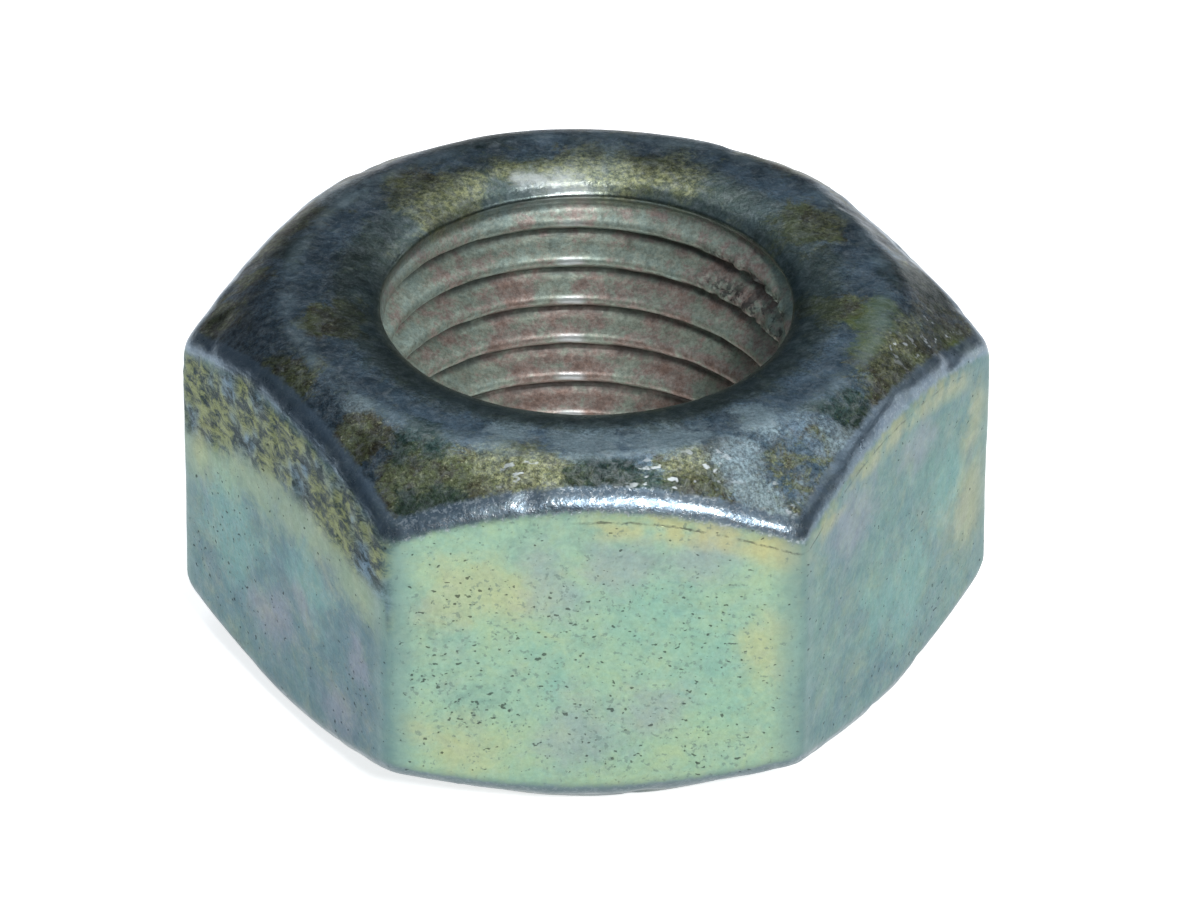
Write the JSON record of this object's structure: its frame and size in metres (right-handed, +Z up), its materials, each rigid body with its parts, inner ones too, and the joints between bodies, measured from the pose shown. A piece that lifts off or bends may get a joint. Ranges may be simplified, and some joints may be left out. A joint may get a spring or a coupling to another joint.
{
  "type": "hex nut",
  "caption": "Plain hexagon nut with a fine right-hand thread, rounded bore entries and chamfered corners on both ends, zinc plated.",
  "frame": {"origin": "centre of the lower bearing face, on the thread axis", "axes": "+Z up along the thread axis; +X through one of the six corners; -Y out of the front wrench flat"},
  "size_m": [0.0216, 0.019, 0.0108],
  "materials": {
    "zinc_plated_steel": "zinc plated with an iridescent green-blue and yellow passivation, worn, satin"
  },
  "bodies": {
    "root": {"hex_nut": "zinc_plated_steel"}
  },
  "joints": []
}
